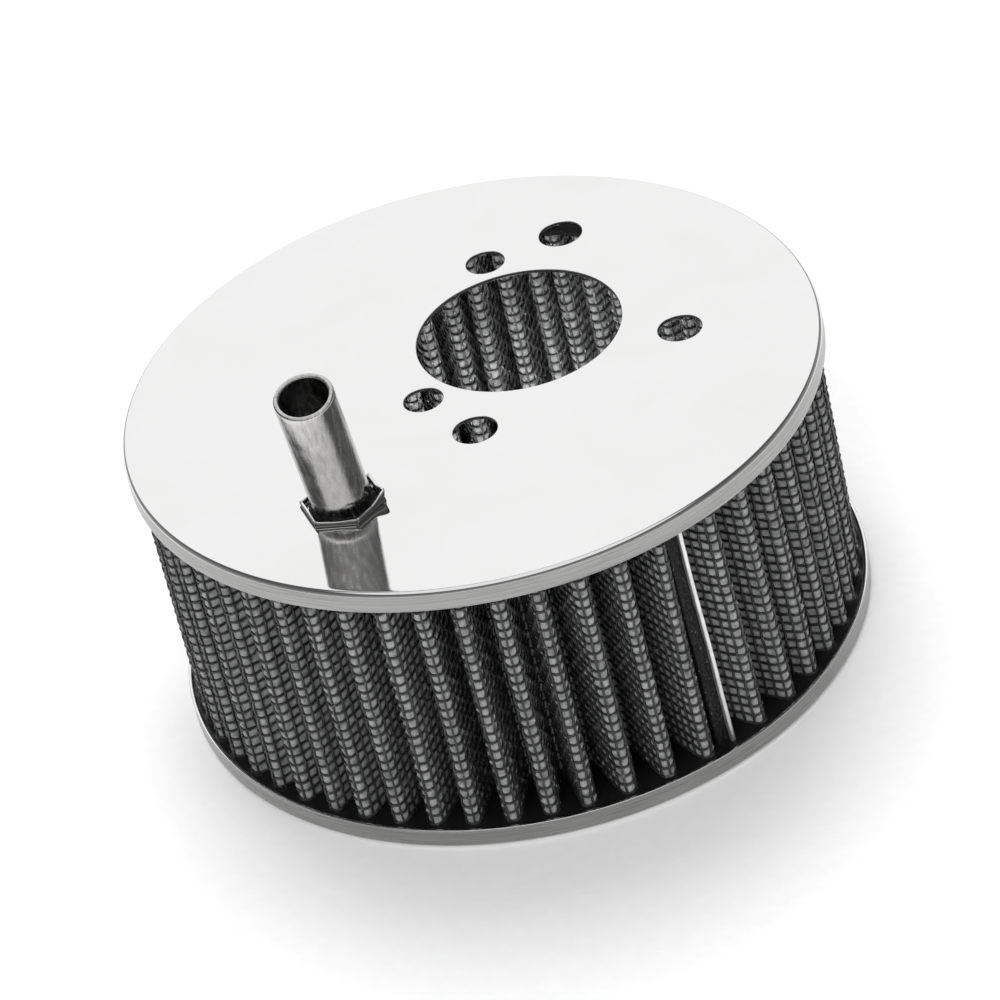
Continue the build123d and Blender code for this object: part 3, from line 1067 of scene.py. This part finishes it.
def solder_bead():
    """Lumpy fillet between tube and petals, piled highest at the front."""
    around = 120
    front_azimuth, front_width = 272, 26
    turn = 2 * np.pi * np.arange(around) / around
    lump = 0.75 + 0.25 * np.sin(3 * turn + 0.8) + 0.18 * np.sin(7 * turn) + 0.12 * np.sin(13 * turn + 2)
    front = np.exp(-((np.degrees(turn) - front_azimuth) / front_width) ** 2)
    height = (0.75 * lump + 1.5 * front * (0.8 + 0.2 * np.sin(19 * turn))) * MM
    low_r, high_r = foot_radius - 0.3 * MM, collar_apothem - petal_thickness + 0.1 * MM
    below = -0.1 * MM
    lean_way = Vector((math.cos(tube_heading), math.sin(tube_heading)))
    lean = math.tan(tube_tilt) * lean_way
    centre = tube_base.xy + 0.1 * MM * lean_way
    rings = []
    for angle, h in zip(turn, height):
        section = [
            (low_r, below), (low_r, 1.15 * h), (foot_radius + 0.12 * MM, 1.1 * h),
            (foot_radius + 0.35 * MM, 0.75 * h), (foot_radius + 0.6 * MM, 0.5 * h),
            (high_r, 0.42 * h), (high_r, below),
        ]
        loop = []
        for r, z in section:
            x = centre.x + r * math.cos(angle) + max(z, 0) * lean.x
            y = centre.y + r * math.sin(angle) + max(z, 0) * lean.y
            loop.append((x, y, filter_height + z))
        rings.append(loop)
    points = np.array(rings).reshape(-1, 3)
    # the row after the last one is the first again
    quads = sheet_quads(around + 1, len(section)) % len(points)
    make_mesh("breather_bead_solder", points, quads, "breather_bead", "sealant", filler)


collar_petals()
solder_bead()

# ---- stage, camera and light ---------------------------

centre = Vector((0, 0, filter_height / 2))

bpy.ops.mesh.primitive_plane_add(size=8.0, location=(0, 0, 0))
floor = bpy.context.object
floor.name = "studio_floor"
floor.data.materials.append(studio_floor())


def direction(azimuth, elevation):
    """Unit vector towards an azimuth and elevation."""
    a, e = math.radians(azimuth), math.radians(elevation)
    return Vector((math.cos(e) * math.cos(a), math.cos(e) * math.sin(a), math.sin(e)))


camera_azimuth, camera_elevation, camera_roll = -66.9, 35.1, -13.7
camera_distance = 1.14
back = direction(camera_azimuth, camera_elevation)
camera_data = bpy.data.cameras.new("camera")
camera_data.lens = 192.0
camera = bpy.data.objects.new("camera", camera_data)
bpy.context.scene.collection.objects.link(camera)
camera.location = centre + back * camera_distance
level_turn = (-back).to_track_quat("-Z", "Y").to_matrix()
camera.rotation_euler = (level_turn @ Matrix.Rotation(math.radians(camera_roll), 3, "Z")).to_euler()
bpy.context.scene.camera = camera


def area_light(name, shape, width, height, power):
    """A soft light that polished metal doesn't mirror."""
    light = bpy.data.lights.new(name, "AREA")
    light.shape = shape
    light.size, light.size_y = width, height
    light.energy = power
    lamp = bpy.data.objects.new(name, light)
    lamp.visible_glossy = False
    bpy.context.scene.collection.objects.link(lamp)
    return lamp


def softbox(name, azimuth, elevation, distance, width, height, power):
    """A rectangular light aimed at the filter."""
    lamp = area_light(name, "RECTANGLE", width, height, power)
    toward = direction(azimuth, elevation)
    lamp.location = centre + toward * distance
    lamp.rotation_euler = (-toward).to_track_quat("-Z", "Y").to_euler()


def cover_bounce():
    """Light that the bright inside of the cover throws back up onto the inner folds."""
    width, above_cover = 100 * MM, 1.5 * MM
    lamp = area_light("cover_bounce", "DISK", width, width, power=0.14)
    lamp.location = (0, 0, sheet + above_cover)
    lamp.rotation_euler = (math.pi, 0, 0)
    lamp.visible_camera = False


def studio_world():
    """Dim studio with two white sheets, one behind the object and one overhead.

    The walls are a paler grey towards the floor.
    """
    world = bpy.data.worlds.new("studio")
    bpy.context.scene.world = world
    world.use_nodes = True
    graph = Graph(world.node_tree)
    view = graph.add("ShaderNodeTexCoord").outputs["Generated"]
    height = graph.add("ShaderNodeSeparateXYZ", in_Vector=view).outputs[2]
    dark, wall_foot = 0.10, 0.30
    level = graph.span(height, 0.15, 0.6, wall_foot, dark)
    # a sheet is even out to 27 degrees and fades away by 36
    inner_edge, outer_edge = math.cos(math.radians(27)), math.cos(math.radians(36))
    away = Vector((-back.x, -back.y, 0)).normalized()
    behind = away * 0.82 + Vector((0, 0, 0.57))
    overhead = away * -0.25 + Vector((0, 0, 0.97))
    for toward, brightness in ((behind, 1.0), (overhead, 0.85)):
        dot = graph.add("ShaderNodeVectorMath", operation="DOT_PRODUCT")
        graph.feed(dot.inputs[0], view)
        graph.feed(dot.inputs[1], toward.normalized())
        facing = dot.outputs["Value"]
        white = graph.span(facing, outer_edge, inner_edge, dark, brightness, "SMOOTHSTEP")
        level = graph.maths("MAXIMUM", level, white)
    graph.feed(graph.tree.nodes["Background"].inputs["Color"], level)


softbox("key_softbox", -86, 42, distance=1.4, width=0.7, height=0.7, power=6.5)
softbox("left_softbox", -118, 18, distance=1.4, width=0.8, height=0.5, power=2.7)
softbox("right_softbox", -22, 24, distance=1.4, width=0.8, height=0.5, power=5)
softbox("back_softbox", 113, 58, distance=1.6, width=1.2, height=1.2, power=19)
cover_bounce()
studio_world()
bpy.context.scene.view_settings.view_transform = "Standard"
